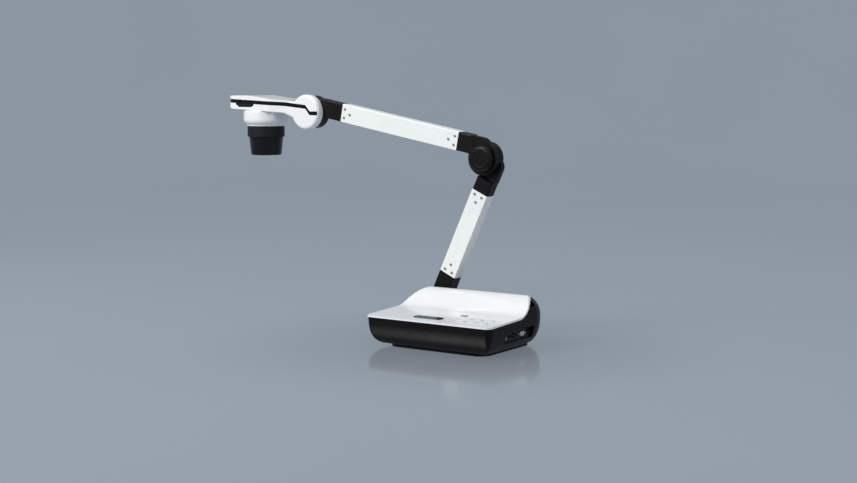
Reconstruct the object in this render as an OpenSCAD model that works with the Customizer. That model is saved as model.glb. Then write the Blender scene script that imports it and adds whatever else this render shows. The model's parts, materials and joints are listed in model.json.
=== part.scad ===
// Desktop low vision magnifier: a camera head on a two-stage folding arm over a weighted base.
// Millimetres, +Z up. The origin is the middle of the base's underside, -Y is the user's side.

/* [Base] */
// Width of the base along X
base_w = 300; // [280:1:320]
// Depth of the base along Y
base_d = 250; // [246:1:256]
// Radius of the front corners, seen from above
front_r = 13; // [13:1:14]
// Radius of the rear corners, seen from above
rear_r = 70; // [66:1:74]
// Height of the cover's top face at the front edge
front_h = 66; // [64:1:68]
// Height of the ridge at the back of the cover
ridge_h = 105; // [102:1:106]
// Place of the ridge along Y
ridge_y = 72; // [70:1:73]
// How far the plinth stands in from the widest outline
plinth_inset = 30; // [28:1:32]
// Height of the seam between the tray and the rear housing
seam_h = 50; // [48:1:52]

/* [Arm] */
// Middle plane of the arm along Y
arm_y = 99; // [98.5:0.5:100]
// Width of the tubes, across the arm
tube_w = 41; // [38:1:42]
// Thickness of the tubes, along Y
tube_t = 28; // [26:1:29]
// Wall of the tubes
tube_wall = 2; // [1.5:0.5:3]
// Foot pivot along X
foot_x = -98; // [-102:1:-94]
// Foot pivot above the desk
foot_z = 76; // [75:1:80]
// Lean of the lower arm to the right of upright, in degrees
lower_lean = 24.4; // [15:0.1:35]
// Rise of the upper arm towards the head, in degrees
upper_rise = 10.3; // [5:0.1:20]
// Length of the lower arm, from the foot pivot to the knee pivot, along the tube
lower_span = 320.5; // [300:0.5:340]
// Length of the upper arm, from the knee pivot to the head pivot, along the tube
upper_span = 472; // [440:1:500]
// Distance from the knee pivot to each tube's middle line
knee_offset = 23.5; // [22:0.5:26]

/* [Head] */
// Distance from the head pivot to the tip
head_len = 219; // [210:1:230]
// Width of the head along Y
head_w = 94; // [90:1:100]
// Distance from the head pivot to the lens axis
lens_x = 140; // [134:1:144]
// Radius of the lens hub
hub_r = 52; // [50:1:53]
// Radius of the zoom ring
ring_r = 43; // [41:1:44]
// Radius of the hinge drum
drum_r = 39.5; // [39:0.5:40]

/* [Keys] */
// Length of a key
key_l = 20; // [16:1:22]
// Width of a key
key_w = 10; // [8:1:12]
// Travel of the keys
key_travel = 1; // [0.8:0.1:1.2]

/* [Hidden] */
$fn = 64;
eps = 0.01;
wall = 3;
screw_r = 1.5;
screw_hole = screw_r + 0.05;
bolt_r = 2;
post_r = 4.5;
ballast_t = 14;
board_z = 26.6;
cover_t = 3.5;
lip = 1.6;
body_fn = 48;

// base profile: a quarter ellipse under the waist and another over the shoulder
waist_lo = 56;
shoulder_z = 66;
plinth_h = 6;
dome_in = 50;
dome_top = 110;
panel_slope = 0.035;
panel_tilt = atan(panel_slope);
scoop_start = -8;
cover_back = ridge_y + 3;
bay_y = cover_back + 4;
bay_end = 100;
deck_z = 54;

// arm
sleeve_w = tube_w - 0.8;
sleeve_t = tube_t - 0.8;
half_gap = 1;
disc_r = 35.5;
pin_r = 5;
run_gap = 0.06;
foot_offset = 14;
foot_r = 19.5;
foot_block = 56;
knee_block = 68;
full_from = 37.5;
tongue = 28;
wire_room = 15;
ear_t = 4.5;
knee_x = foot_x - (foot_offset + knee_offset) * cos(lower_lean) + lower_span * sin(lower_lean);
knee_z = foot_z + (foot_offset + knee_offset) * sin(lower_lean) + lower_span * cos(lower_lean);
head_drop = 15.5;
head_disc_r = 37;
head_block = 91;
head_n = knee_offset - head_drop;
head_x = knee_x - upper_span * cos(upper_rise) + head_n * sin(upper_rise);
head_z = knee_z + upper_span * sin(upper_rise) + head_n * cos(upper_rise);

// head, measured from its pivot
band_t = 8.5;
band_end = 36;
tip_r = 20;
drum_near = -32;
drum_edge = 7;
drum_far = -14.6;
hub_seat = 2.8;
hub_bottom = -34;
ring_top = -35.2;
ring_bottom = -59;
hood_bottom = -101;
sensor_z = 10;
// x, y, height of the head's underside and of the screw's tip
head_screw_at = [[-200, -38, 6, 32], [-200, 38, 6, 32], [-78, -28, -0.5, 26], [-78, 28, -0.5, 26]];
hood_r = 39.5;
cell_r = 33;
head_wall = 2.5;
lamp_half = 29;

// keys
key_xs = [62, 88, 114];
key_ys = [-92, -64];
key_gap = 0.4;
power_at = [37, -40];
power_l = 16;
power_w = 7;
status_at = [-17, -91];
status_l = 70;
status_w = 20;
switch_boss_at = [[-50, -34], [-50, -66], [75, -78], [116, -36]];
post_at = [[-128, -100], [128, -100], [-139, 62], [139, 62]];
foot_at = [[-98, -72], [98, -72], [-78, 70], [78, 70]];
screw_at = [for (p = foot_at) 0.8 * p];
bolt_at = [for (x = [-9, 9], y = [-8, 8]) [x, y]];
switch_top = -7.4;

// sockets: the panel's face, the recess around it, and each socket's place along Y and Z
panel_x = 136;
recess_y = [-58, 50];
recess_z = [24, 48];
audio_at = [-48, 34];
hdmi_y = -30;
usb_y = -12;
vga_at = [15, 35.2];
dc_at = [42, 37];
screw_span = 12.5;
board_top = board_z + 1.6;

// ---- helpers ----
function smooth(t) = t * t * (3 - 2 * t);
function scoop_z(y) = front_h + panel_slope * (min(y, ridge_y) + base_d / 2)
    + (ridge_h - front_h - panel_slope * (ridge_y + base_d / 2))
    * smooth(max(0, min(1, (y - scoop_start) / (ridge_y - scoop_start))));
function scoop(drop, y_end) = [for (i = [0:30]) let (y = -base_d / 2 - 5 + i * (y_end + base_d / 2 + 5) / 30)
    [y, scoop_z(y) - drop]];

// z and inset of each level of the base's outline
function levels() = concat(
    [for (i = [0:7]) let (a = i * 90 / 7)
        [waist_lo - (waist_lo - plinth_h) * cos(a), plinth_inset * (1 - sin(a))]],
    [for (i = [0:7]) let (a = i * 84 / 7)
        [shoulder_z + (dome_top - shoulder_z) * sin(a), dome_in * (1 - cos(a))]]);

module base_solid(grow) {
    hull() for (l = levels()) {
        front = max(front_r - l[1], 4) + grow;
        rear = rear_r - l[1] + grow;
        front_in = l[1] + max(front_r - l[1], 4);
        for (s = [-1, 1]) {
            translate([s * (base_w / 2 - front_in), -base_d / 2 + front_in, l[0]])
                cylinder(h = eps, r = front, $fn = body_fn);
            translate([s * (base_w / 2 - rear_r), base_d / 2 - rear_r, l[0]])
                cylinder(h = eps, r = rear, $fn = body_fn);
        }
    }
}

module along_x(x0, x1) {
    translate([x0, 0, 0]) rotate([90, 0, 90]) linear_extrude(x1 - x0) children();
}

module along_y(y0, y1) {
    translate([0, y1, 0]) rotate([90, 0, 0]) linear_extrude(y1 - y0) children();
}

module rod_y(y0, y1, r) {
    translate([0, y1, 0]) rotate([90, 0, 0]) cylinder(h = y1 - y0, r = r);
}

module rounded(w, d, r) {
    square([w - 2 * r, d], center = true);
    square([w, d - 2 * r], center = true);
    for (x = [-1, 1], y = [-1, 1]) translate([x * (w / 2 - r), y * (d / 2 - r)]) circle(r = r);
}

module pill(l, w) {
    square([l - w, w], center = true);
    for (x = [-1, 1]) translate([x * (l - w) / 2, 0]) circle(d = w);
}

module box(x, y, z) {
    translate([x[0], y[0], z[0]]) cube([x[1] - x[0], y[1] - y[0], z[1] - z[0]]);
}

// everything that the black housing may fill, drawn in by e
module housing_space(e) {
    along_x(-base_w, base_w) polygon(concat(scoop(cover_t + e, ridge_y),
        [[cover_back, ridge_h - cover_t - e], [cover_back, ridge_h - 2 - e],
        [bay_y - e, ridge_h - 4 - e], [bay_y - e, 0], [-base_d, 0]]));
    along_x(bay_end + e, base_w) polygon([[cover_back, 0], [cover_back, ridge_h - 0.5 - e],
        [base_d, ridge_h - 44 - e], [base_d, 0]]);
    box([-base_w, base_w], [0, base_d], [0, deck_z - e]);
}

module on_panel(x, y) {
    translate([x, y, scoop_z(y)]) rotate([panel_tilt, 0, 0]) children();
}

module at_foot() {
    translate([foot_x, arm_y, foot_z]) rotate([0, lower_lean, 0]) children();
}

module at_upper() {
    translate([knee_x, arm_y, knee_z]) rotate([0, upper_rise - 90, 0]) children();
}

module at_lower_knee() {
    translate([knee_x, arm_y, knee_z]) rotate([0, 180 + lower_lean, 0]) mirror([1, 0, 0]) children();
}

module at_head() {
    translate([head_x, arm_y, head_z]) children();
}

module at_lens() {
    translate([head_x - lens_x, arm_y, head_z]) children();
}

// ---- base ----
// a screw post; the rear ones are drawn out to the side wall
module post(p, z0, z1) {
    for (out = p[1] > 0 ? [0, 5] : [0]) translate([p[0] + sign(p[0]) * out, p[1], z0])
        cylinder(h = z1 - z0, r = post_r);
}

module base_tray() {
    color("#232326") difference() {
        union() {
            difference() {
                intersection() {
                    base_solid(0);
                    box([-base_w, base_w], [-base_d, base_d], [plinth_h, seam_h]);
                }
                intersection() {
                    base_solid(-wall);
                    box([-base_w, base_w], [-base_d, base_d], [plinth_h + wall, seam_h + wall]);
                }
            }
            intersection() {
                base_solid(-wall / 2);
                union() {
                    for (p = post_at) post(p, plinth_h + 1, seam_h);
                    box([panel_x - 3, base_w / 2], [recess_y[0] - 6, recess_y[1] + 6], [plinth_h + 8, seam_h]);
                }
            }
        }
        for (p = post_at) translate([p[0], p[1], seam_h - 20]) cylinder(h = 30, r = screw_hole);
        for (p = screw_at) translate([p[0], p[1], 0]) cylinder(h = 20, r = screw_hole);
        box([panel_x, base_w], recess_y, recess_z);
        box([120, 140], [recess_y[0] + 3, recess_y[1] - 1.2], [26.5, 46]);
    }
}

module base_plate() {
    color("#2a2a2d") difference() {
        linear_extrude(plinth_h) rounded(base_w - 2 * plinth_inset, base_d - 2 * plinth_inset, 30);
        for (p = foot_at) translate([p[0], p[1], -eps]) cylinder(h = 3, r = 10);
        for (p = screw_at) translate([p[0], p[1], -eps]) cylinder(h = 3, r = 3.4);
        for (p = screw_at) translate([p[0], p[1], 0]) cylinder(h = 20, r = 1.7);
    }
}

module rubber_feet() {
    color("#1b1b1b") for (p = foot_at) translate([p[0], p[1], 0]) cylinder(h = 3 - eps, r = 9.8);
}

module base_screws() {
    color("silver") for (p = screw_at) translate([p[0], p[1], 1]) {
        cylinder(h = 2 - eps, r = 3.1);
        cylinder(h = 8, r = screw_r);
    }
}

module ballast_plate() {
    color("#55585c") difference() {
        translate([0, 0, plinth_h + wall]) linear_extrude(ballast_t) rounded(206, 146, 12);
        for (p = screw_at) translate([p[0], p[1], 0]) cylinder(h = 30, r = 4);
    }
}

module main_board() {
    color("#1f5a3a") {
        box([-20, 133], [-62, 52], [board_z, board_top]);
        box([20, 60], [-30, 10], [board_top, board_top + 2.8]);
        box([75, 95], [-50, -30], [board_top, board_top + 2.4]);
    }
}

module board_standoffs() {
    color("#b9a25a") for (x = [-12, 95], y = [-55, 44]) translate([x, y, board_z - 3.6])
        cylinder(h = 3.6, r = 3);
}

// the outline of the D-sub's shell, grown by e, and its place on the panel
module d_outline(e) {
    hull() for (s = [-1, 1]) {
        translate([-1.9, s * 5.9]) circle(r = 2.4 + e, $fn = 24);
        translate([1.9, s * 5]) circle(r = 2.4 + e, $fn = 24);
    }
}

module at_vga() {
    translate([panel_x, vga_at[0], vga_at[1]]) rotate([0, 90, 0]) children();
}

module at_socket(x, place) {
    translate([x, place[0], place[1]]) rotate([0, 90, 0]) children();
}

module port_panel() {
    color("#2e2e31") difference() {
        box([panel_x, panel_x + 2.5], [recess_y[0] + 0.2, recess_y[1] - 0.2],
            [recess_z[0] + 0.2, recess_z[1] - 0.2]);
        at_socket(130, audio_at) cylinder(h = 20, r = 4.1);
        box([130, 150], [usb_y - 6.5, usb_y + 6.5], [29.9, 41.9]);
        box([130, 150], [hdmi_y - 8.5, hdmi_y + 8.5], [31.4, 38.6]);
        at_vga() linear_extrude(20, center = true) d_outline(0.2);
        for (s = [-1, 1]) at_vga() translate([0, s * screw_span, -5]) cylinder(h = 10, r = 2.6);
        at_socket(130, dc_at) cylinder(h = 20, r = 5.6);
    }
}

module audio_jack() {
    color("#c9ccd0") difference() {
        union() {
            at_socket(122, audio_at) cylinder(h = 18.5, r = 4);
            box([122, panel_x - 0.2], [audio_at[0] - 5, audio_at[0] + 5], [board_top, audio_at[1] + 5]);
        }
        at_socket(124, audio_at) cylinder(h = 20, r = 1.8);
    }
}

module usb_socket() {
    color("#c4c7cb") difference() {
        union() {
            box([121, panel_x - 0.2], [usb_y - 6.3, usb_y + 6.3], [board_top, 41.6]);
            box([121, 140], [usb_y - 6.3, usb_y + 6.3], [30.1, 41.6]);
        }
        box([125, 141], [usb_y - 4.3, usb_y + 4.3], [31.5, 39.8]);
    }
}

module hdmi_socket() {
    color("#b8bbc0") difference() {
        union() {
            box([124, panel_x - 0.2], [hdmi_y - 8.3, hdmi_y + 8.3], [board_top, 38.4]);
            box([124, 139.5], [hdmi_y - 8.3, hdmi_y + 8.3], [31.6, 38.4]);
        }
        box([128, 141], [hdmi_y - 7.1, hdmi_y + 7.1], [32.4, 37.6]);
    }
}

module vga_connector() {
    color("#cdd0d4") {
        box([121, panel_x - 0.2], [vga_at[0] - 15.4, vga_at[0] + 15.4], [board_top, vga_at[1] + 6]);
        at_vga() translate([0, 0, -1]) linear_extrude(6.5) d_outline(0);
        for (s = [-1, 1]) at_vga() translate([0, s * screw_span, -1]) difference() {
            cylinder(h = 6, r = 2.4, $fn = 6);
            translate([0, 0, 2]) cylinder(h = 5, r = 1.2);
        }
    }
}

module dc_inlet() {
    color("#3a3a3d") difference() {
        union() {
            at_socket(122, dc_at) cylinder(h = 18, r = 5.5);
            box([122, panel_x - 0.2], [dc_at[0] - 6, dc_at[0] + 6], [board_top, dc_at[1] + 6]);
        }
        difference() {
            at_socket(130, dc_at) cylinder(h = 20, r = 3.2, $fn = 24);
            at_socket(122, dc_at) cylinder(h = 17, r = 1, $fn = 12);
        }
    }
}

module rear_housing() {
    color("#202023") difference() {
        union() {
            difference() {
                intersection() {
                    base_solid(0);
                    housing_space(0);
                    box([-base_w, base_w], [-base_d, base_d], [seam_h, 2 * ridge_h]);
                }
                intersection() {
                    base_solid(-wall);
                    housing_space(wall);
                    box([-base_w, base_w], [-base_d, base_d], [0, 2 * ridge_h]);
                }
                box([-base_w / 2 + 6, base_w / 2 - 6], [-base_d / 2 + 6, ridge_y - 12], [seam_h, ridge_h]);
            }
            intersection() {
                base_solid(-wall / 2);
                for (p = post_at) if (p[1] > 0) post(p, seam_h, seam_h + 12);
            }
        }
        for (p = post_at) translate([p[0], p[1], seam_h - 20]) cylinder(h = 29, r = screw_hole);
        for (p = bolt_at) translate([foot_x + p[0], arm_y + p[1], deck_z - 20])
            cylinder(h = 30, r = bolt_r + 0.05);
    }
}

module top_cover() {
    color("#f4f4f2") difference() {
        union() {
            intersection() {
                base_solid(lip);
                along_x(-base_w, base_w) polygon(concat(scoop(0, ridge_y), [[cover_back, ridge_h - 1.5],
                    [cover_back, ridge_h - cover_t]], [for (i = [30:-1:0]) scoop(cover_t, ridge_y)[i]]));
            }
            for (p = post_at) if (p[1] < 0) post(p, seam_h, front_h - 2);
            for (p = switch_boss_at) on_panel(p[0], p[1]) translate([0, 0, switch_top - 3.6])
                cylinder(h = 8.5, r = 3);
        }
        for (p = post_at) translate([p[0], p[1], seam_h - 20]) cylinder(h = 29, r = screw_hole);
        for (x = key_xs, y = key_ys) on_panel(x, y) translate([0, 0, -10]) linear_extrude(20)
            pill(key_l + 2 * key_gap, key_w + 2 * key_gap);
        on_panel(power_at[0], power_at[1]) translate([0, 0, -10]) linear_extrude(20)
            pill(power_l + 2 * key_gap, power_w + 2 * key_gap);
        on_panel(status_at[0], status_at[1]) translate([0, 0, -10]) linear_extrude(20)
            pill(status_l + 0.2, status_w + 0.2);
    }
}

module post_screws() {
    color("silver") for (p = post_at) translate([p[0], p[1], seam_h - 16]) cylinder(h = 24, r = screw_r);
}

module status_window() {
    color("#101014") on_panel(status_at[0], status_at[1]) {
        translate([0, 0, -4]) linear_extrude(5.4) pill(status_l, status_w);
        translate([0, 0, -5.4]) linear_extrude(1.8) pill(status_l + 6, status_w + 5);
    }
}

module switch_board() {
    color("#1f5a3a") {
        on_panel(0, -65) translate([-60, -41, switch_top - 5.2]) cube([181, 82, 1.6]);
        for (x = key_xs, y = key_ys) on_panel(x, y) translate([-3, -3, switch_top - 3.6]) cube([6, 6, 3.6]);
        on_panel(power_at[0], power_at[1]) translate([-3, -3, switch_top - 3.6]) cube([6, 6, 3.6]);
    }
}

module key(l, w) {
    translate([0, 0, -4]) linear_extrude(5.5) pill(l, w);
    translate([0, 0, -5]) linear_extrude(1.4) pill(l + 4, w + 4);
    translate([0, 0, switch_top + key_travel + 0.2]) cylinder(h = 2, r = 1.6);
}

module key_n(n) {
    color("#e6e7e8") on_panel(key_xs[n % 3], key_ys[floor(n / 3)]) key(key_l, key_w);
}

module power_button() {
    color("#2b2c30") on_panel(power_at[0], power_at[1]) key(power_l, power_w);
}

// ---- foot of the arm ----
module arm_bracket() {
    color("#35363a") translate([foot_x, arm_y, 0]) difference() {
        union() {
            box([-15, 15], [-tube_t / 2 - ear_t, tube_t / 2 + ear_t], [deck_z, deck_z + 1.8]);
            for (y = [-tube_t / 2 - ear_t, tube_t / 2 + 0.3]) {
                box([-15, 15], [y, y + ear_t - 0.3], [deck_z, foot_z]);
                translate([0, 0, foot_z]) rod_y(y, y + ear_t - 0.3, 15);
            }
        }
        translate([0, 0, foot_z]) rod_y(-40, 40, pin_r + 0.03);
        for (p = bolt_at) translate([p[0], p[1], 0]) cylinder(h = 90, r = bolt_r + 0.05);
    }
}

module bracket_bolts() {
    color("silver") for (p = bolt_at) translate([foot_x + p[0], arm_y + p[1], deck_z - 12])
        cylinder(h = 13.6, r = bolt_r);
}

module foot_pin() {
    color("#b7babf") translate([foot_x, arm_y, foot_z]) {
        rod_y(-tube_t / 2 - ear_t, tube_t / 2 + ear_t, pin_r);
        rod_y(tube_t / 2 + ear_t, tube_t / 2 + ear_t + 1.6, 7.5);
    }
}

module foot_washers() {
    color("#8d9095") translate([foot_x, arm_y, foot_z]) for (s = [-1, 1]) difference() {
        rod_y(s * tube_t / 2 - 0.3, s * tube_t / 2 + 0.3, 12);
        rod_y(-40, 40, pin_r + 0.2);
    }
}

module wire_hole() {
    cylinder(h = 200, r = 4);
}

// three screws at a tube's end, in a triangle, on the tube's near face
module screw_spots() {
    for (p = [[-9.5, 8], [9.5, 8], [0, 23]]) translate([p[0], -tube_t / 2, p[1]]) rotate([90, 0, 0]) children();
}

module tube_screw_bores() {
    screw_spots() translate([0, 0, -12]) cylinder(h = 14, r = screw_hole);
}

module foot_sleeve() {
    color("#1d1d1f") at_foot() difference() {
        union() {
            rod_y(-sleeve_t / 2 + 0.4, sleeve_t / 2 - 0.4, foot_r);
            along_y(-sleeve_t / 2, sleeve_t / 2) polygon([[-foot_r + 3, 8],
                [-foot_offset - sleeve_w / 2, 14], [-foot_offset - sleeve_w / 2, foot_block],
                [-foot_offset + sleeve_w / 2, foot_block], [-foot_offset + sleeve_w / 2, 30],
                [foot_r - 4, 10], [0, 0]]);
            translate([-foot_offset, 0, foot_block]) linear_extrude(tongue)
                square([tube_w - 2 * tube_wall - 0.2, tube_t - 2 * tube_wall - 0.2], center = true);
        }
        rod_y(-40, 40, pin_r + run_gap);
        translate([-foot_offset, 0, foot_block + tongue - wire_room]) wire_hole();
        translate([-foot_offset, 0, foot_block]) tube_screw_bores();
    }
}

module tube(z0, z1) {
    difference() {
        translate([0, 0, z0]) linear_extrude(z1 - z0) difference() {
            rounded(tube_w, tube_t, 2);
            square([tube_w - 2 * tube_wall, tube_t - 2 * tube_wall], center = true);
        }
        translate([0, 0, z0]) screw_spots() translate([0, 0, -8]) cylinder(h = 20, r = 1.7);
        translate([0, 0, z1]) mirror([0, 0, 1]) screw_spots() translate([0, 0, -8]) cylinder(h = 20, r = 1.7);
    }
}

module tube_screws(z0, z1) {
    for (end = [0, 1]) translate([0, 0, end ? z1 : z0]) mirror([0, 0, end]) screw_spots() {
        translate([0, 0, -11]) cylinder(h = 11 + eps, r = screw_r);
        difference() {
            cylinder(h = 1.3, r = 2.7);
            translate([0, 0, 0.5]) cylinder(h = 2, r = 1.3, $fn = 6);
        }
    }
}

lower_z0 = foot_block;
lower_z1 = lower_span - knee_block;

module lower_tube() {
    color("#eceeed") at_foot() translate([-foot_offset, 0, 0]) tube(lower_z0, lower_z1);
}

module lower_tube_screws() {
    color("#9fa2a6") at_foot() translate([-foot_offset, 0, 0]) tube_screws(lower_z0, lower_z1);
}

module wires(z0, z1) {
    translate([0, 0, z0]) cylinder(h = z1 - z0, r = 2.6);
}

module lower_wires() {
    color("#2f2f33") at_foot() translate([-foot_offset, 0, 0])
        wires(lower_z0 + tongue - wire_room, lower_z1 - tongue + wire_room);
}

// ---- knee ----
// one half of the knee: pivot at the origin, tube along +Z at x = knee_offset
module knee_sleeve(y0, y1, bore) {
    difference() {
        union() {
            rod_y(y0, y1, disc_r);
            translate([knee_offset, 0, 8]) rod_y(y0, y1, sleeve_w / 2);
            box([knee_offset - sleeve_w / 2, knee_offset + sleeve_w / 2], [y0, y1], [8, full_from + eps]);
            translate([knee_offset, 0, full_from]) linear_extrude(knee_block - full_from)
                rounded(sleeve_w, sleeve_t, 3);
            translate([knee_offset, 0, knee_block]) linear_extrude(tongue)
                square([tube_w - 2 * tube_wall - 0.2, tube_t - 2 * tube_wall - 0.2], center = true);
        }
        rod_y(-40, 40, bore);
        translate([knee_offset, 0, knee_block + tongue - wire_room]) wire_hole();
        translate([knee_offset, 0, knee_block]) tube_screw_bores();
    }
}

module lower_knee_sleeve() {
    color("#1d1d1f") at_lower_knee() knee_sleeve(half_gap, sleeve_t / 2, pin_r + 0.03);
}

module upper_knee_sleeve() {
    color("#26262a") at_upper() knee_sleeve(-sleeve_t / 2, -half_gap, pin_r + run_gap);
}

module knee_pin() {
    color("#b7babf") translate([knee_x, arm_y, knee_z]) {
        rod_y(-sleeve_t / 2 - 9, sleeve_t / 2, pin_r);
        rod_y(sleeve_t / 2, sleeve_t / 2 + 2.5, 9);
    }
}

module knee_washer() {
    color("#8d9095") translate([knee_x, arm_y, knee_z]) difference() {
        rod_y(-half_gap + 0.2, half_gap, 26);
        rod_y(-5, 5, pin_r + 0.2);
    }
}

module knee_knob() {
    color("#2e2e31") translate([knee_x, arm_y - sleeve_t / 2 - 0.4, knee_z]) rotate([90, 0, 0]) difference() {
        rotate_extrude() polygon(concat([[0, 0], [28.5, 0], [29, 0.8], [29, 4]],
            [for (a = [10:16:90]) [19 + 10 * cos(a), 4 + 7.5 * sin(a)]], [[18, 11.5], [17.2, 11], [0, 11]]));
        translate([0, 0, -eps]) cylinder(h = 9.2, r = pin_r + run_gap);
        for (i = [0:23]) rotate([0, 0, i * 15]) translate([30.4, 0, -1]) cylinder(h = 7, r = 1.9, $fn = 16);
    }
}

// ---- upper arm ----
upper_z0 = knee_block;
upper_z1 = upper_span - head_block;

module upper_tube() {
    color("#eceeed") at_upper() translate([knee_offset, 0, 0]) tube(upper_z0, upper_z1);
}

module upper_tube_screws() {
    color("#9fa2a6") at_upper() translate([knee_offset, 0, 0]) tube_screws(upper_z0, upper_z1);
}

module upper_wires() {
    color("#2f2f33") at_upper() translate([knee_offset, 0, 0])
        wires(upper_z0 + tongue - wire_room, upper_z1 - tongue + wire_room);
}

module head_sleeve() {
    color("#1d1d1f") at_upper() difference() {
        union() {
            translate([head_n, 0, upper_span]) rod_y(-sleeve_t / 2, sleeve_t / 2, head_disc_r);
            translate([knee_offset, 0, upper_z1]) linear_extrude(head_block - head_disc_r + 14)
                rounded(sleeve_w, sleeve_t, 3);
            translate([knee_offset, 0, upper_z1 - tongue]) linear_extrude(tongue)
                square([tube_w - 2 * tube_wall - 0.2, tube_t - 2 * tube_wall - 0.2], center = true);
        }
        translate([head_n, 0, upper_span]) rod_y(-40, 40, pin_r + 0.03);
        translate([knee_offset, 0, upper_z1 - tongue - 185]) wire_hole();
        translate([knee_offset, 0, upper_z1]) mirror([0, 0, 1]) tube_screw_bores();
    }
}

module head_pin() {
    color("#b7babf") at_head() {
        rod_y(drum_near + 6, sleeve_t / 2, pin_r);
        rod_y(sleeve_t / 2, sleeve_t / 2 + 2.5, 9);
    }
}

module head_washer() {
    color("#8d9095") at_head() difference() {
        rod_y(drum_far + 0.2, -sleeve_t / 2, 28);
        rod_y(-40, 40, pin_r + 0.2);
    }
}

// ---- head ----
// middle line of the dark band round the head
function band_z(x) = x < -60 ? 17.6 - 0.045 * (x + 60)
    : x < 0 ? 17.6 - 0.093 * (x + 60)
    : 12 - 14.5 * smooth(min(1, x / 17));
band_line = [for (x = [-head_len - 5, -60, 0, 3, 6, 9, 12, 15, 17, 50]) [x, band_z(x)]];

// outline of the head from above, drawn in by e
module head_plan(e) {
    hull() {
        for (y = [-1, 1]) translate([-head_len + tip_r, y * (head_w / 2 - tip_r)]) circle(r = tip_r - e, $fn = 48);
        for (y = [-1, 1]) translate([-95, y * (head_w / 2 - 12)]) circle(r = 12 - e, $fn = 48);
        translate([-52, drum_near + 7.5]) circle(r = 6 - e, $fn = 32);
        translate([-52, 24]) circle(r = 6 - e, $fn = 32);
    }
}

// side outline of the paddle, drawn in by e
module head_side(e) {
    polygon([[-head_len, 33 - e], [-head_len + 6, 36 - e], [-155, 36.5 - e], [-80, 28 - e],
        [-43, 25.5 - e], [-43, -3 + e], [-100, 1 + e], [-head_len + 18, 6 + e],
        [-head_len, 10 + e]]);
}

module paddle(e) {
    intersection() {
        translate([0, 0, -80]) linear_extrude(160) head_plan(e);
        along_y(-80, 80) head_side(e);
    }
}

// an outline drawn out across the drum, with its near edge rounded
module across_drum() {
    hull() for (a = [0:22.5:90]) along_y(drum_near + drum_edge * (1 - cos(a)), drum_far)
        offset(delta = -drum_edge * (1 - sin(a))) children();
}

// the drum and its neck, on the near side of the arm
module drum_solid() {
    across_drum() circle(r = drum_r);
    across_drum() polygon([[-92, 20], [-92, 4], [-56, -7], [-30, -16], [0, -16], [0, 24], [-60, 24]]);
}

module above_band(gap) {
    along_y(-80, 80) polygon(concat([for (p = band_line) [p[0], p[1] + gap]], [[50, 90], [-head_len - 5, 90]]));
}

module below_band(gap) {
    along_y(-80, 80) polygon(concat([for (p = band_line) [p[0], p[1] - gap]], [[50, -90], [-head_len - 5, -90]]));
}

module head_shape() {
    paddle(0);
    drum_solid();
}

module head_hollow() {
    difference() {
        intersection() {
            paddle(head_wall);
            box([-head_len, -66], [-80, 80], [-80, 80]);
        }
        for (p = head_screw_at) translate([p[0], p[1], -40]) cylinder(h = 90, r = 5.4);
    }
}

module head_screw_bores() {
    for (p = head_screw_at) translate([p[0], p[1], 0]) {
        translate([0, 0, -40]) cylinder(h = 40.5 + p[3], r = screw_hole);
        translate([0, 0, p[2] - 20]) cylinder(h = 23, r = 3);
    }
}

module head_top_shell() {
    color("#f6f6f4") at_head() difference() {
        intersection() {
            head_shape();
            above_band(band_t / 2);
        }
        head_hollow();
        head_screw_bores();
        rod_y(drum_near + 5.5, 0, pin_r + run_gap);
    }
}

module head_band() {
    color("#141416") at_head() difference() {
        intersection() {
            union() {
                paddle(0.5);
                intersection() {
                    drum_solid();
                    box([-60, band_end], [drum_near + 0.4, drum_far], [-60, 60]);
                }
            }
            above_band(-band_t / 2 + eps);
            below_band(-band_t / 2 + eps);
        }
        head_hollow();
        head_screw_bores();
        rod_y(drum_near + 5.5, 0, pin_r + 0.3);
    }
}

module head_bottom_shell() {
    color("#f6f6f4") at_head() difference() {
        union() {
            intersection() {
                head_shape();
                below_band(band_t / 2);
            }
            translate([-lens_x, 0, hub_seat]) cylinder(h = 5, r = hub_r - 8);
            // past the band's end the drum is one piece with the lower shell
            intersection() {
                drum_solid();
                box([band_end + 0.1, 60], [-60, 0], [-60, 60]);
                below_band(-band_t / 2);
            }
        }
        head_hollow();
        head_screw_bores();
        rod_y(drum_near + 5.5, 0, pin_r + run_gap);
        translate([-lens_x, 0, -40]) cylinder(h = 60, r = 34.5);
        translate([-lens_x, 0, hub_bottom]) cylinder(h = hub_seat - hub_bottom, r = hub_r + 0.3);
        translate([-head_len + 6, -lamp_half, -10]) cube([15, 2 * lamp_half, 30]);
        along_y(-80, 80) window_outline();
    }
}

module window_outline() {
    polygon([[-191, 21], [-137, 21], [-137, 14], [-144, 9.8], [-181, 9.8], [-191, 16]]);
}

module side_windows() {
    color("#131316") at_head() difference() {
        intersection() {
            paddle(0.3);
            along_y(-80, 80) offset(delta = -0.05) window_outline();
            below_band(band_t / 2);
        }
        head_hollow();
    }
}

module lamp_window() {
    color("#26282c") at_head() {
        translate([-head_len + 6, -lamp_half, 8.6]) cube([15, 2 * lamp_half, 2.4]);
    }
}

module led_board() {
    color("#e8e2c8") at_head() {
        translate([-head_len + 6.5, 1 - lamp_half, 12.6]) cube([14, 2 * lamp_half - 2, 1.6]);
        for (i = [-3:3]) translate([-head_len + 12, i * 8 - 1.5, 11]) cube([3, 3, 1.6 + eps]);
    }
}

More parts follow.
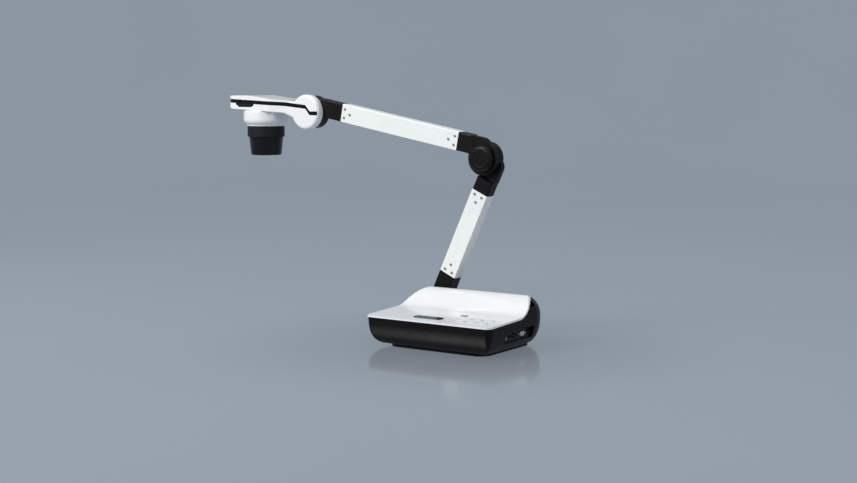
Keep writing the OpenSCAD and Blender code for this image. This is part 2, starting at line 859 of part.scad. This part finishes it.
module lens_hub() {
    color("#f6f6f4") at_lens() difference() {
        rotate_extrude() polygon(concat(
            [[cell_r, hub_seat - 0.05], [hub_r - 2, hub_seat - 0.05], [hub_r, hub_seat - 5]],
            [for (a = [0:15:60]) [hub_r - 14 + 14 * cos(a), -18 - 14 * sin(a)]],
            [[hub_r - 8.5, hub_bottom], [cell_r, hub_bottom]]));
        translate([0, 0, hub_bottom + 5]) cylinder(h = 25, r = 36.5);
        translate([0, 0, -16]) cylinder(h = 15, r = 47.5);
    }
}

module zoom_ring() {
    color("#3a3b3e") at_lens() difference() {
        translate([0, 0, ring_bottom + 0.4]) cylinder(h = ring_top - ring_bottom - 0.4, r = ring_r);
        translate([0, 0, ring_bottom - 1]) cylinder(h = 60, r = cell_r + 0.35);
        for (i = [0:35]) rotate([0, 0, i * 10]) translate([ring_r + 0.5, 0, ring_bottom + 6])
            cylinder(h = 13, r = 1.1, $fn = 16);
    }
}

module lens_hood() {
    color("#18181a") at_lens() rotate_extrude() polygon([[31.2, ring_bottom], [hood_r, ring_bottom],
        [hood_r, ring_bottom - 2], [35.5, hood_bottom + 1], [34.7, hood_bottom], [32.5, hood_bottom],
        [30, hood_bottom + 6], [30, hood_bottom + 10], [31.2, hood_bottom + 10]]);
}

module lens_cell() {
    color("#202022") at_lens() rotate_extrude() polygon([[27, ring_bottom - 12], [31, ring_bottom - 12],
        [31, ring_bottom + 1], [cell_r, ring_bottom + 1], [cell_r, sensor_z], [15, sensor_z],
        [15, sensor_z - 3], [29, sensor_z - 3], [29, ring_bottom + 38], [18, ring_bottom + 38],
        [18, ring_bottom + 26], [29, ring_bottom + 26], [29, ring_bottom + 2], [27, ring_bottom + 2]]);
}

module front_glass() {
    color("#28303c") at_lens() translate([0, 0, hood_bottom + 10.2]) cylinder(h = 2.4, r = 30.9);
}

// one biconvex lens: the overlap of two spheres, cut to its diameter
module lens(r, ball, t) {
    intersection() {
        cylinder(h = 3 * t, r = r, center = true);
        translate([0, 0, ball - t / 2]) sphere(r = ball, $fn = 96);
        translate([0, 0, t / 2 - ball]) sphere(r = ball, $fn = 96);
    }
}

module lens_elements() {
    color("#9fb4c8") at_lens() {
        translate([0, 0, ring_bottom - 4]) lens(26.8, 70, 12);
        translate([0, 0, ring_bottom + 32]) lens(17.8, 50, 8);
    }
}

module sensor_board() {
    color("#1f5a3a") at_lens() {
        translate([-21, -21, sensor_z]) cube([42, 42, 1.6]);
        translate([-7, -7, sensor_z - 1.8]) cube([14, 14, 1.8 + eps]);
    }
}

module head_screws() {
    color("silver") at_head() for (p = head_screw_at) translate([p[0], p[1], p[2]]) {
        translate([0, 0, 1]) cylinder(h = 2, r = 2.9);
        translate([0, 0, 2]) cylinder(h = p[3] - p[2] - 2, r = screw_r);
    }
}

base_tray();
base_plate();
rubber_feet();
base_screws();
ballast_plate();
main_board();
board_standoffs();
port_panel();
audio_jack();
usb_socket();
hdmi_socket();
vga_connector();
dc_inlet();
rear_housing();
top_cover();
post_screws();
status_window();
switch_board();
key_n(0);  // key_1
key_n(1);  // key_2
key_n(2);  // key_3
key_n(3);  // key_4
key_n(4);  // key_5
key_n(5);  // key_6
power_button();
arm_bracket();
bracket_bolts();
foot_pin();
foot_washers();
foot_sleeve();
lower_tube();
lower_tube_screws();
lower_wires();
lower_knee_sleeve();
knee_pin();
knee_washer();
knee_knob();
upper_knee_sleeve();
upper_tube();
upper_tube_screws();
upper_wires();
head_sleeve();
head_pin();
head_washer();
head_top_shell();
head_band();
head_bottom_shell();
side_windows();
lamp_window();
led_board();
lens_hub();
zoom_ring();
lens_hood();
lens_cell();
front_glass();
lens_elements();
sensor_board();
head_screws();
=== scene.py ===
import json
import math

import bmesh
import bpy
from mathutils import Matrix, Vector


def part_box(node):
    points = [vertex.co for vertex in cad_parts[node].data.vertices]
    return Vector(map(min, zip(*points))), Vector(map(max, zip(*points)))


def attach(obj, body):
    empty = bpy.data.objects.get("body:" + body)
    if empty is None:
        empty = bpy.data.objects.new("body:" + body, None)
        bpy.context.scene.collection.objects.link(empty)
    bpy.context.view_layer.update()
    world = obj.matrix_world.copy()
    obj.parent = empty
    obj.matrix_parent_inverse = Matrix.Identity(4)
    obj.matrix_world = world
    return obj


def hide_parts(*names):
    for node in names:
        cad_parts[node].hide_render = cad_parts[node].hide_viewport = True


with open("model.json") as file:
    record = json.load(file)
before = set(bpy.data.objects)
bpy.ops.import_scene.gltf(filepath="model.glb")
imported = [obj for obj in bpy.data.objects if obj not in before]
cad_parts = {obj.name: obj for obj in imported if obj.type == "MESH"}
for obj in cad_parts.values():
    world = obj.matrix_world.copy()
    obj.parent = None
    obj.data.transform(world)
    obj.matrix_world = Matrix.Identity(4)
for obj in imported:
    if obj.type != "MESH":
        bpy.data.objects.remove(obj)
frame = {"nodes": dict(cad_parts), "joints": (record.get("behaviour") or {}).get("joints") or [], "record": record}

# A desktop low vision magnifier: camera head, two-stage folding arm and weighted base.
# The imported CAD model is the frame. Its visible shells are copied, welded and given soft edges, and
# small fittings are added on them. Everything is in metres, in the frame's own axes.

MM = 0.001
WELD = 2e-6  # vertices closer than this are one
FLAT_ANGLE = math.radians(0.6)  # faces that meet flatter than this are one
EDGE_ANGLE = math.radians(32)  # faces that meet sharper than this have an edge to soften
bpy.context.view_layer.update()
NODES = frame["nodes"]
RECORD = frame["record"]
BODY_OF = {n: b for b, ns in RECORD["behaviour"]["bodies"].items() for n in ns}
JOINTS = {j["name"]: j for j in frame["joints"]}
SLOT_OF = {s["node"]: s["material_slot"] for s in RECORD["subparts"]}


# ---- materials ----
class Graph:
    """A material's node tree, with short calls for the nodes that the finishes share."""

    def __init__(self, name):
        self.material = bpy.data.materials.new(name)
        self.material.use_nodes = True
        self.tree = self.material.node_tree
        self.shader = self.tree.nodes["Principled BSDF"]
        self.place = self.tree.nodes.new("ShaderNodeTexCoord").outputs["Object"]

    def link(self, source, socket):
        self.tree.links.new(source, socket)

    def noise(self, scale, detail, stretch=None):
        place = self.place
        if stretch:
            mapping = self.tree.nodes.new("ShaderNodeMapping")
            mapping.inputs["Scale"].default_value = stretch
            self.link(place, mapping.inputs["Vector"])
            place = mapping.outputs["Vector"]
        node = self.tree.nodes.new("ShaderNodeTexNoise")
        node.inputs["Scale"].default_value = scale
        node.inputs["Detail"].default_value = detail
        self.link(place, node.inputs["Vector"])
        return node.outputs["Fac"]

    def spread(self, value, low, high):
        node = self.tree.nodes.new("ShaderNodeMapRange")
        node.inputs["From Min"].default_value = 0.3
        node.inputs["From Max"].default_value = 0.7
        node.inputs["To Min"].default_value = low
        node.inputs["To Max"].default_value = high
        self.link(value, node.inputs["Value"])
        return node.outputs["Result"]

    def blend(self, value, dark, light):
        node = self.tree.nodes.new("ShaderNodeMix")
        node.data_type = "RGBA"
        node.inputs["A"].default_value = (*dark, 1)
        node.inputs["B"].default_value = (*light, 1)
        self.link(value, node.inputs["Factor"])
        return node.outputs["Result"]

    def bump(self, value, height, strength):
        node = self.tree.nodes.new("ShaderNodeBump")
        node.inputs["Distance"].default_value = height
        node.inputs["Strength"].default_value = strength
        self.link(value, node.inputs["Height"])
        return node.outputs["Normal"]


def shade(color, factor):
    return tuple(min(1.0, c * factor) for c in color)


def finish(name, color, rough, grain, height, tone, metallic=0.0, coat=0.0, coat_rough=0.08,
           stretch=None, specular=0.5):
    """A moulded, painted or metal surface.

    It has fine grain in its bump, smudges in its roughness, and slow changes in its colour.
    """
    g = Graph(name)
    s = g.shader
    s.inputs["Metallic"].default_value = metallic
    s.inputs["Coat Weight"].default_value = coat
    s.inputs["Coat Roughness"].default_value = coat_rough
    s.inputs["Specular IOR Level"].default_value = specular
    grains = g.noise(grain, 2.0, stretch)
    drift = g.spread(g.noise(14, 4.0), 0.0, 1.0)
    smudges = g.noise(55, 5.0)
    g.link(g.blend(drift, shade(color, 1 - tone), shade(color, 1 + tone)), s.inputs["Base Color"])
    g.link(g.spread(smudges, rough * 0.85, rough * 1.2), s.inputs["Roughness"])
    g.link(g.bump(grains, height, 0.7), s.inputs["Normal"])
    return g.material


def glass(name, color, rough, coat_color, shine=1.0):
    """A coated lens or window: dark, smooth, with the tint of its coating seen at a slant."""
    g = Graph(name)
    s = g.shader
    s.inputs["Coat Weight"].default_value = shine
    s.inputs["Coat Roughness"].default_value = 0.02
    s.inputs["Specular IOR Level"].default_value = 0.8 * shine
    facing = g.tree.nodes.new("ShaderNodeLayerWeight")
    facing.inputs["Blend"].default_value = 0.35
    g.link(g.blend(facing.outputs["Facing"], color, coat_color), s.inputs["Base Color"])
    g.link(g.spread(g.noise(70, 4.0), rough * 0.6, rough * 1.5), s.inputs["Roughness"])
    return g.material


# grain is the noise's scale, height is in metres, and tone is how far the colour drifts
FINISHES = {
    "black_housing": dict(color=(0.0032, 0.0026, 0.0030), rough=0.36, grain=2600, height=0.00006,
                          tone=0.12, specular=0.14),
    "white_gloss": dict(color=(0.85, 0.85, 0.855), rough=0.20, grain=260, height=0.00001,
                        tone=0.012, coat=0.5),
    "sleeve_black": dict(color=(0.0038, 0.0030, 0.0034), rough=0.38, grain=2200, height=0.00009,
                         tone=0.15, specular=0.18),
    "tube_white": dict(color=(0.84, 0.855, 0.83), rough=0.34, grain=1300, height=0.00004,
                       tone=0.02, coat=0.15, coat_rough=0.3),
    "rubber": dict(color=(0.012, 0.012, 0.012), rough=0.75, grain=900, height=0.0002,
                   tone=0.2, specular=0.2),
    "steel": dict(color=(0.40, 0.41, 0.42), rough=0.32, grain=900, height=0.00004,
                  tone=0.1, metallic=1.0, stretch=(1, 1, 9)),
    "bracket_paint": dict(color=(0.02, 0.02, 0.022), rough=0.45, grain=1800, height=0.00006, tone=0.15),
    "ballast": dict(color=(0.12, 0.12, 0.125), rough=0.6, grain=700, height=0.0003,
                    tone=0.3, metallic=0.8),
    "circuit_board": dict(color=(0.01, 0.12, 0.05), rough=0.35, grain=500, height=0.00005,
                          tone=0.25, coat=0.3),
    "brass": dict(color=(0.65, 0.47, 0.18), rough=0.28, grain=900, height=0.00003,
                  tone=0.1, metallic=1.0),
    "connector_metal": dict(color=(0.62, 0.63, 0.64), rough=0.26, grain=1200, height=0.00003,
                            tone=0.08, metallic=1.0, stretch=(1, 6, 1)),
    "port_black": dict(color=(0.007, 0.007, 0.0075), rough=0.42, grain=2000, height=0.00006,
                       tone=0.12, specular=0.3),
    "key_grey": dict(color=(0.66, 0.67, 0.68), rough=0.42, grain=1600, height=0.00005, tone=0.02),
    "key_dark": dict(color=(0.20, 0.20, 0.21), rough=0.30, grain=900, height=0.00002,
                     tone=0.08, coat=0.4),
    "wire_jacket": dict(color=(0.02, 0.02, 0.022), rough=0.5, grain=700, height=0.0001, tone=0.2),
    "gloss_black": dict(color=(0.002, 0.002, 0.0022), rough=0.14, grain=400, height=0.00001,
                        tone=0.1, coat=0.25, specular=0.2),
    "ring_black": dict(color=(0.0095, 0.0095, 0.0098), rough=0.46, grain=2400, height=0.00009,
                       tone=0.15, specular=0.22),
}
GLASSES = {
    "smoked_window": dict(color=(0.002, 0.002, 0.0025), rough=0.06, coat_color=(0.012, 0.012, 0.014),
                          shine=0.45),
    "lens_glass": dict(color=(0.008, 0.010, 0.018), rough=0.03, coat_color=(0.10, 0.06, 0.22)),
}
MATERIALS = {name: finish(name, **look) for name, look in FINISHES.items()}
MATERIALS.update({name: glass(name, **look) for name, look in GLASSES.items()})


# ---- making pieces ----
def add_piece(name, mesh, body, slot, replaces=()):
    piece = bpy.data.objects.new(name, mesh)
    bpy.context.scene.collection.objects.link(piece)
    mesh.materials.clear()
    mesh.materials.append(MATERIALS[slot])
    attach(piece, body)
    for node in replaces:
        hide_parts(node)
    return piece


def soft_edges(piece, width):
    bevel = piece.modifiers.new("edges", "BEVEL")
    bevel.width = width
    bevel.segments = 3
    bevel.limit_method = "ANGLE"
    bevel.angle_limit = EDGE_ANGLE
    bevel.use_clamp_overlap = True
    bevel.harden_normals = True
    weighted = piece.modifiers.new("normals", "WEIGHTED_NORMAL")
    weighted.keep_sharp = True


def shell_of(node, edge):
    """A copy of a CAD node's shell with its flat faces merged and its edges softened."""
    mesh = NODES[node].data.copy()
    work = bmesh.new()
    work.from_mesh(mesh)
    bmesh.ops.remove_doubles(work, verts=work.verts, dist=WELD)
    bmesh.ops.dissolve_limit(work, angle_limit=FLAT_ANGLE, verts=work.verts, edges=work.edges)
    bmesh.ops.recalc_face_normals(work, faces=work.faces)
    work.to_mesh(mesh)
    work.free()
    mesh.name = node + "_shell"
    mesh.shade_smooth()
    mesh.set_sharp_from_angle(angle=EDGE_ANGLE)
    piece = add_piece(node + "_shell", mesh, BODY_OF[node], SLOT_OF[node], [node])
    soft_edges(piece, edge)


# ---- the camera, the light and the floor ----
def add_camera():
    """Seen from the front right, a little above the head, as a long lens sees it."""
    base_low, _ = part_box("base_tray")
    turn = math.radians(34.14)
    pitch = math.radians(6.19)
    line_of_sight = math.radians(35.2)
    away, aside, height = 3.0430, -0.0724, 0.548
    corner = Vector((base_low.x, base_low.y, 0))
    right = Vector((math.cos(line_of_sight), math.sin(line_of_sight), 0))
    ahead = Vector((-right.y, right.x, 0))
    data = bpy.data.cameras.new("camera")
    data.sensor_width = 36
    data.lens = 62.6
    data.clip_end = 50
    camera = bpy.data.objects.new("camera", data)
    bpy.context.scene.collection.objects.link(camera)
    camera.location = corner - ahead * away - right * aside + Vector((0, 0, height))
    camera.rotation_euler = (math.pi / 2 - pitch, 0, turn)
    bpy.context.scene.camera = camera


def add_light(name, place, aim, size, power, color=(1, 1, 1)):
    data = bpy.data.lights.new(name, "AREA")
    data.shape = "RECTANGLE"
    data.size, data.size_y = size
    data.energy = power
    data.color = color
    light = bpy.data.objects.new(name, data)
    bpy.context.scene.collection.objects.link(light)
    light.location = place
    light.rotation_euler = (Vector(aim) - Vector(place)).to_track_quat("-Z", "Y").to_euler()


def add_floor():
    """A pale floor that curves up into a backdrop."""
    mesh = bpy.data.meshes.new("floor")
    work = bmesh.new()
    half, front, depth, lift, bend = 9.0, -8.0, 6.0, 6.0, 2.0
    line = [(front, 0.0), (depth - bend, 0.0)]
    line += [(depth - bend + bend * math.sin(a), bend - bend * math.cos(a))
             for a in (math.radians(10 * i) for i in range(1, 10))]
    line.append((depth, lift))
    rows = [[work.verts.new((x, y, z)) for x in (-half, half)] for y, z in line]
    for a, b in zip(rows, rows[1:]):
        work.faces.new((a[0], a[1], b[1], b[0]))
    work.to_mesh(mesh)
    work.free()
    mesh.shade_smooth()
    floor = bpy.data.objects.new("floor", mesh)
    bpy.context.scene.collection.objects.link(floor)
    floor.rotation_euler = (0, 0, math.radians(34))
    floor.location = (0, 0, -0.0002)
    mesh.materials.append(floor_material())


def floor_material():
    """A satin studio sheet: an even tone, a faint shadow, and a mirror image that fades out."""
    g = Graph("studio_sheet")
    tree = g.tree
    tone = g.blend(g.spread(g.noise(0.7, 2.0), 0.0, 1.0), shade(SHEET, 0.985), shade(SHEET, 1.015))
    glow = tree.nodes.new("ShaderNodeEmission")
    matt = tree.nodes.new("ShaderNodeBsdfDiffuse")
    mirror = tree.nodes.new("ShaderNodeBsdfAnisotropic")
    mirror.inputs["Roughness"].default_value = 0.13
    g.link(tone, glow.inputs["Color"])
    g.link(tone, matt.inputs["Color"])
    under = tree.nodes.new("ShaderNodeMixShader")
    under.inputs["Fac"].default_value = 0.22
    g.link(glow.outputs[0], under.inputs[1])
    g.link(matt.outputs[0], under.inputs[2])
    top = tree.nodes.new("ShaderNodeMixShader")
    away = tree.nodes.new("ShaderNodeVectorMath")
    away.operation = "LENGTH"
    g.link(g.place, away.inputs[0])
    fade = tree.nodes.new("ShaderNodeMapRange")
    fade.interpolation_type = "SMOOTHSTEP"
    fade.inputs["From Min"].default_value = 0.14
    fade.inputs["From Max"].default_value = 0.62
    fade.inputs["To Min"].default_value = 0.42
    fade.inputs["To Max"].default_value = 0.0
    g.link(away.outputs["Value"], fade.inputs["Value"])
    g.link(fade.outputs["Result"], top.inputs["Fac"])
    g.link(under.outputs[0], top.inputs[1])
    g.link(mirror.outputs[0], top.inputs[2])
    g.link(top.outputs[0], tree.nodes["Material Output"].inputs["Surface"])
    return g.material


def add_world():
    world = bpy.data.worlds.new("studio")
    bpy.context.scene.world = world
    world.use_nodes = True
    background = world.node_tree.nodes["Background"]
    background.inputs["Color"].default_value = (*SHEET, 1)
    background.inputs["Strength"].default_value = 0.95


SHEET = (0.300, 0.346, 0.396)
WARM = (1.0, 0.975, 0.945)
bpy.context.scene.view_settings.view_transform = "Standard"
add_camera()
add_floor()
add_world()
add_light("key", place=(-1.5, -2.6, 2.3), aim=(-0.2, 0, 0.25), size=(1.5, 1.5), power=112, color=WARM)
add_light("top", place=(0.2, 0.3, 2.6), aim=(0, 0, 0), size=(2.4, 1.6), power=17, color=WARM)
add_light("side", place=(2.6, -0.9, 1.1), aim=(0, 0, 0.3), size=(0.7, 1.4), power=9)

# ---- shells ----
# the width of each shell's softened edges, in millimetres
for node, edge in {
    "base_tray": 0.8, "rear_housing": 1.0, "top_cover": 0.9, "base_plate": 0.8, "arm_bracket": 0.6,
    "port_panel": 0.2, "foot_sleeve": 1.2, "lower_knee_sleeve": 1.5, "upper_knee_sleeve": 1.5,
    "head_sleeve": 1.5, "lower_tube": 0.5, "upper_tube": 0.5, "knee_knob": 0.5,
    "head_top_shell": 1.6, "head_band": 0.4, "head_bottom_shell": 1.6, "side_windows": 0.3,
    "lens_hub": 0.8, "zoom_ring": 0.4, "lens_hood": 0.5, "status_window": 0.6, "power_button": 0.5,
}.items():
    shell_of(node, edge * MM)
for i in range(1, 7):
    shell_of(f"key_{i}", 0.7 * MM)


# ---- small fittings ----
def plate(work, outline, thickness, place):
    """A thin prism over a flat outline, its underside a little sunk into the face it lies on."""
    low = [work.verts.new(place @ Vector((x, y, -thickness))) for x, y in outline]
    high = [work.verts.new(place @ Vector((x, y, thickness))) for x, y in outline]
    work.faces.new(list(reversed(low)))
    work.faces.new(high)
    for i in range(len(outline)):
        j = (i + 1) % len(outline)
        work.faces.new((low[i], low[j], high[j], high[i]))


def ring_of(radius, count, start=0.0):
    turns = [start + math.tau * i / count for i in range(count)]
    return [(radius * math.cos(turn), radius * math.sin(turn)) for turn in turns]


def bar(length, width):
    x, y = length / 2, width / 2
    return [(-x, -y), (x, -y), (x, y), (-x, y)]


def piece_of(name, body, slot, plates):
    work = bmesh.new()
    for outline, thickness, place in plates:
        plate(work, outline, thickness, place)
    mesh = bpy.data.meshes.new(name)
    work.to_mesh(mesh)
    work.free()
    add_piece(name, mesh, body, slot)


def on_top(node, tilt):
    """The middle of a key's top face, turned with the sloping panel."""
    low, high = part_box(node)
    rise = (high.y - low.y) / 2 * math.sin(tilt) * 0.96
    middle = Vector(((low.x + high.x) / 2, (low.y + high.y) / 2, high.z - rise))
    return Matrix.Translation(middle) @ Matrix.Rotation(tilt, 4, "X")


PANEL_TILT = math.asin(-JOINTS["key_1_press"]["axis"][1])
GLYPHS = {
    "key_1": [bar(6.0 * MM, 1.1 * MM)],
    "key_2": [bar(6.0 * MM, 1.1 * MM), bar(1.1 * MM, 6.0 * MM)],
    "key_3": [ring_of(2.6 * MM, 3, math.pi / 2)],
    "key_4": [ring_of(2.4 * MM, 4, math.pi / 4)],
    "key_5": [ring_of(2.2 * MM, 28)],
    "key_6": [ring_of(2.6 * MM, 3, -math.pi / 2)],
}
for node, outlines in GLYPHS.items():
    place = on_top(node, PANEL_TILT)
    piece_of(node + "_glyph", BODY_OF[node], "key_dark",
             [(outline, (0.02 + 0.004 * i) * MM, place) for i, outline in enumerate(outlines)])


def contact(row, column):
    """Painted shade: a flat dark disc for one contact hole in the D-sub's face, standing for the shade inside a
    hole that is not cut. Three rows of five, each row a little to the side.
    """
    low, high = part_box("vga_connector")
    middle = Vector((high.x, (low.y + high.y) / 2, high.z - 6 * MM))
    step = Vector((0, (2.3 * column - 0.6 * row) * MM, -2.0 * row * MM))
    facing_out = Matrix.Rotation(math.pi / 2, 4, "Y")
    return ring_of(0.5 * MM, 16), 0.03 * MM, Matrix.Translation(middle + step) @ facing_out


# painted shade: these dark discs stand in for the shaded insides of the contact holes
piece_of("vga_hole_shade_discs", "base", "port_black",
         [contact(row, column) for row in (-1, 0, 1) for column in range(-2, 3)])


def tongue(node, width, thick, depth, lift):
    """A flat contact blade inside a socket's mouth; its sizes are in millimetres."""
    low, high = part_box(node)
    middle = Vector((high.x - (depth / 2 + 1.2) * MM, (low.y + high.y) / 2, high.z - lift * MM))
    return bar(depth * MM, width * MM), thick / 2 * MM, Matrix.Translation(middle)


piece_of("usb_tongue", "base", "port_black", [tongue("usb_socket", 5.6, 2.6, 12.8, 5.9)])
piece_of("hdmi_tongue", "base", "port_black", [tongue("hdmi_socket", 10.5, 1.3, 9.5, 3.2)])

# ---- finishes of the CAD nodes that stay visible ----
for node, cad in NODES.items():
    if not cad.hide_render:
        cad.data.materials.clear()
        cad.data.materials.append(MATERIALS[SLOT_OF[node]])
